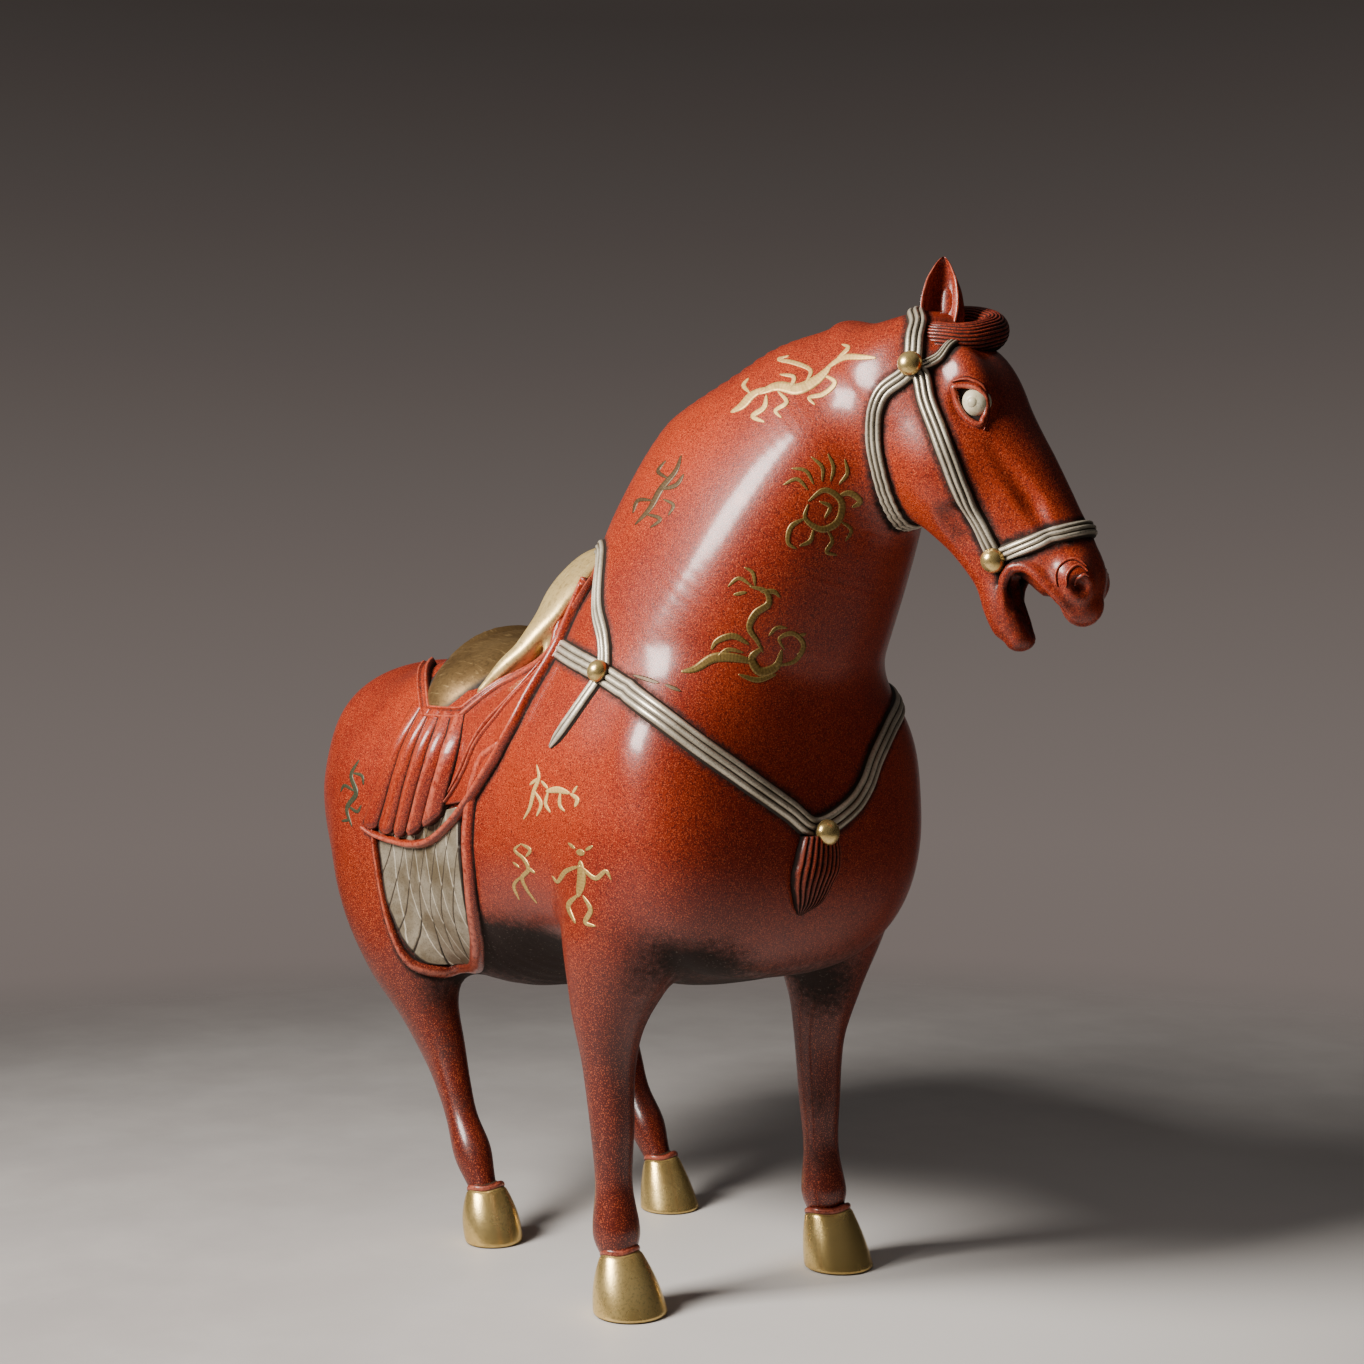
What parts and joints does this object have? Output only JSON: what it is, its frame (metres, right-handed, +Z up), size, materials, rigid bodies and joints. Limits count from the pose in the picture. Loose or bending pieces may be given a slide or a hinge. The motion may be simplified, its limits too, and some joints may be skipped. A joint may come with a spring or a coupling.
{
  "type": "horse figurine",
  "caption": "Standing cast bronze horse figurine with red lacquer, bridle, breast strap with tassel, saddle and side cloths.",
  "frame": {"origin": "centre of the bounding box in plan, on the ground under the hooves", "axes": "+X the way the body faces, +Y the horse's left side, +Z up"},
  "size_m": [0.4236, 0.1604, 0.3923],
  "materials": {
    "red_lacquer": "worn cinnabar red lacquer over bronze, semi-gloss, fine speckle",
    "silver_trim": "worn silvered straps and blanket panels with dark grooves",
    "gilt_bronze": "worn gilt bosses and hooves",
    "saddle_brass": "dull brown bronze seat",
    "pommel_gold": "pale cream gold flange",
    "emblem_gold": "worn gold painted ornament",
    "eye_cream": "cream eyeball"
  },
  "bodies": {
    "root": {"horse": "red_lacquer"}
  },
  "joints": []
}
